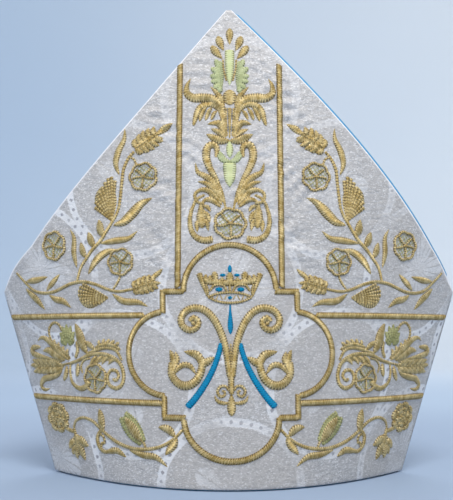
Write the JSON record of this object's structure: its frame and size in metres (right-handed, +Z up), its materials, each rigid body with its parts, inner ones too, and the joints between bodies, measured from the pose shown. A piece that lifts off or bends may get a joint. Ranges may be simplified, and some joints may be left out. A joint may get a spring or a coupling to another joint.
{
  "type": "bishop mitre",
  "caption": "Tall two-horned liturgical hat of silver-white brocade with raised gold braid, a quatrefoil medallion, blue lining and two fringed tails.",
  "frame": {"origin": "centre of the rim's plane, where the hat sits on a head or stands on a table", "axes": "+Z up from the rim to the peaks, +X to the right across the width, front horn towards -Y, tails towards +Y"},
  "size_m": [0.3296, 0.4719, 0.3235],
  "materials": {
    "brocade": "crinkled silver-white metal-thread brocade over a stiffener, soft sheen",
    "gold_thread": "satin-stitched antique gold metal thread",
    "blue_satin": "glossy blue satin stitch",
    "blue_lining": "plain soft blue lining cloth"
  },
  "bodies": {
    "root": {"back_crown": "gold_thread", "back_lily": "gold_thread", "back_lower_band_left": "gold_thread", "back_lower_band_right": "gold_thread", "back_medallion_frame": "gold_thread", "back_panel": "brocade", "back_plant": "gold_thread", "back_ribbon_left": "blue_satin", "back_ribbon_right": "blue_satin", "back_rose_left": "gold_thread", "back_rose_right": "gold_thread", "back_scroll_left": "gold_thread", "back_scroll_right": "gold_thread", "back_upper_band_left": "gold_thread", "back_upper_band_right": "gold_thread", "back_upright_braid_left": "gold_thread", "back_upright_braid_right": "gold_thread", "back_wheel_band_left": "gold_thread", "back_wheel_band_right": "gold_thread", "back_wheel_low_left": "gold_thread", "back_wheel_low_right": "gold_thread", "back_wheel_middle": "gold_thread", "back_wheel_side_left": "gold_thread", "back_wheel_side_right": "gold_thread", "back_wheel_upper_left": "gold_thread", "back_wheel_upper_right": "gold_thread", "crown_gusset": "blue_lining", "fringe_left": "gold_thread", "fringe_right": "gold_thread", "front_crown": "gold_thread", "front_lily": "gold_thread", "front_lower_band_left": "gold_thread", "front_lower_band_right": "gold_thread", "front_medallion_frame": "gold_thread", "front_panel": "brocade", "front_plant": "gold_thread", "front_ribbon_left": "blue_satin", "front_ribbon_right": "blue_satin", "front_rose_left": "gold_thread", "front_rose_right": "gold_thread", "front_scroll_left": "gold_thread", "front_scroll_right": "gold_thread", "front_upper_band_left": "gold_thread", "front_upper_band_right": "gold_thread", "front_upright_braid_left": "gold_thread", "front_upright_braid_right": "gold_thread", "front_wheel_band_left": "gold_thread", "front_wheel_band_right": "gold_thread", "front_wheel_low_left": "gold_thread", "front_wheel_low_right": "gold_thread", "front_wheel_middle": "gold_thread", "front_wheel_side_left": "gold_thread", "front_wheel_side_right": "gold_thread", "front_wheel_upper_left": "gold_thread", "front_wheel_upper_right": "gold_thread", "head_lining": "blue_lining", "lappet_braid_left": "gold_thread", "lappet_braid_right": "gold_thread", "lappet_left": "brocade", "lappet_right": "brocade"}
  },
  "joints": []
}
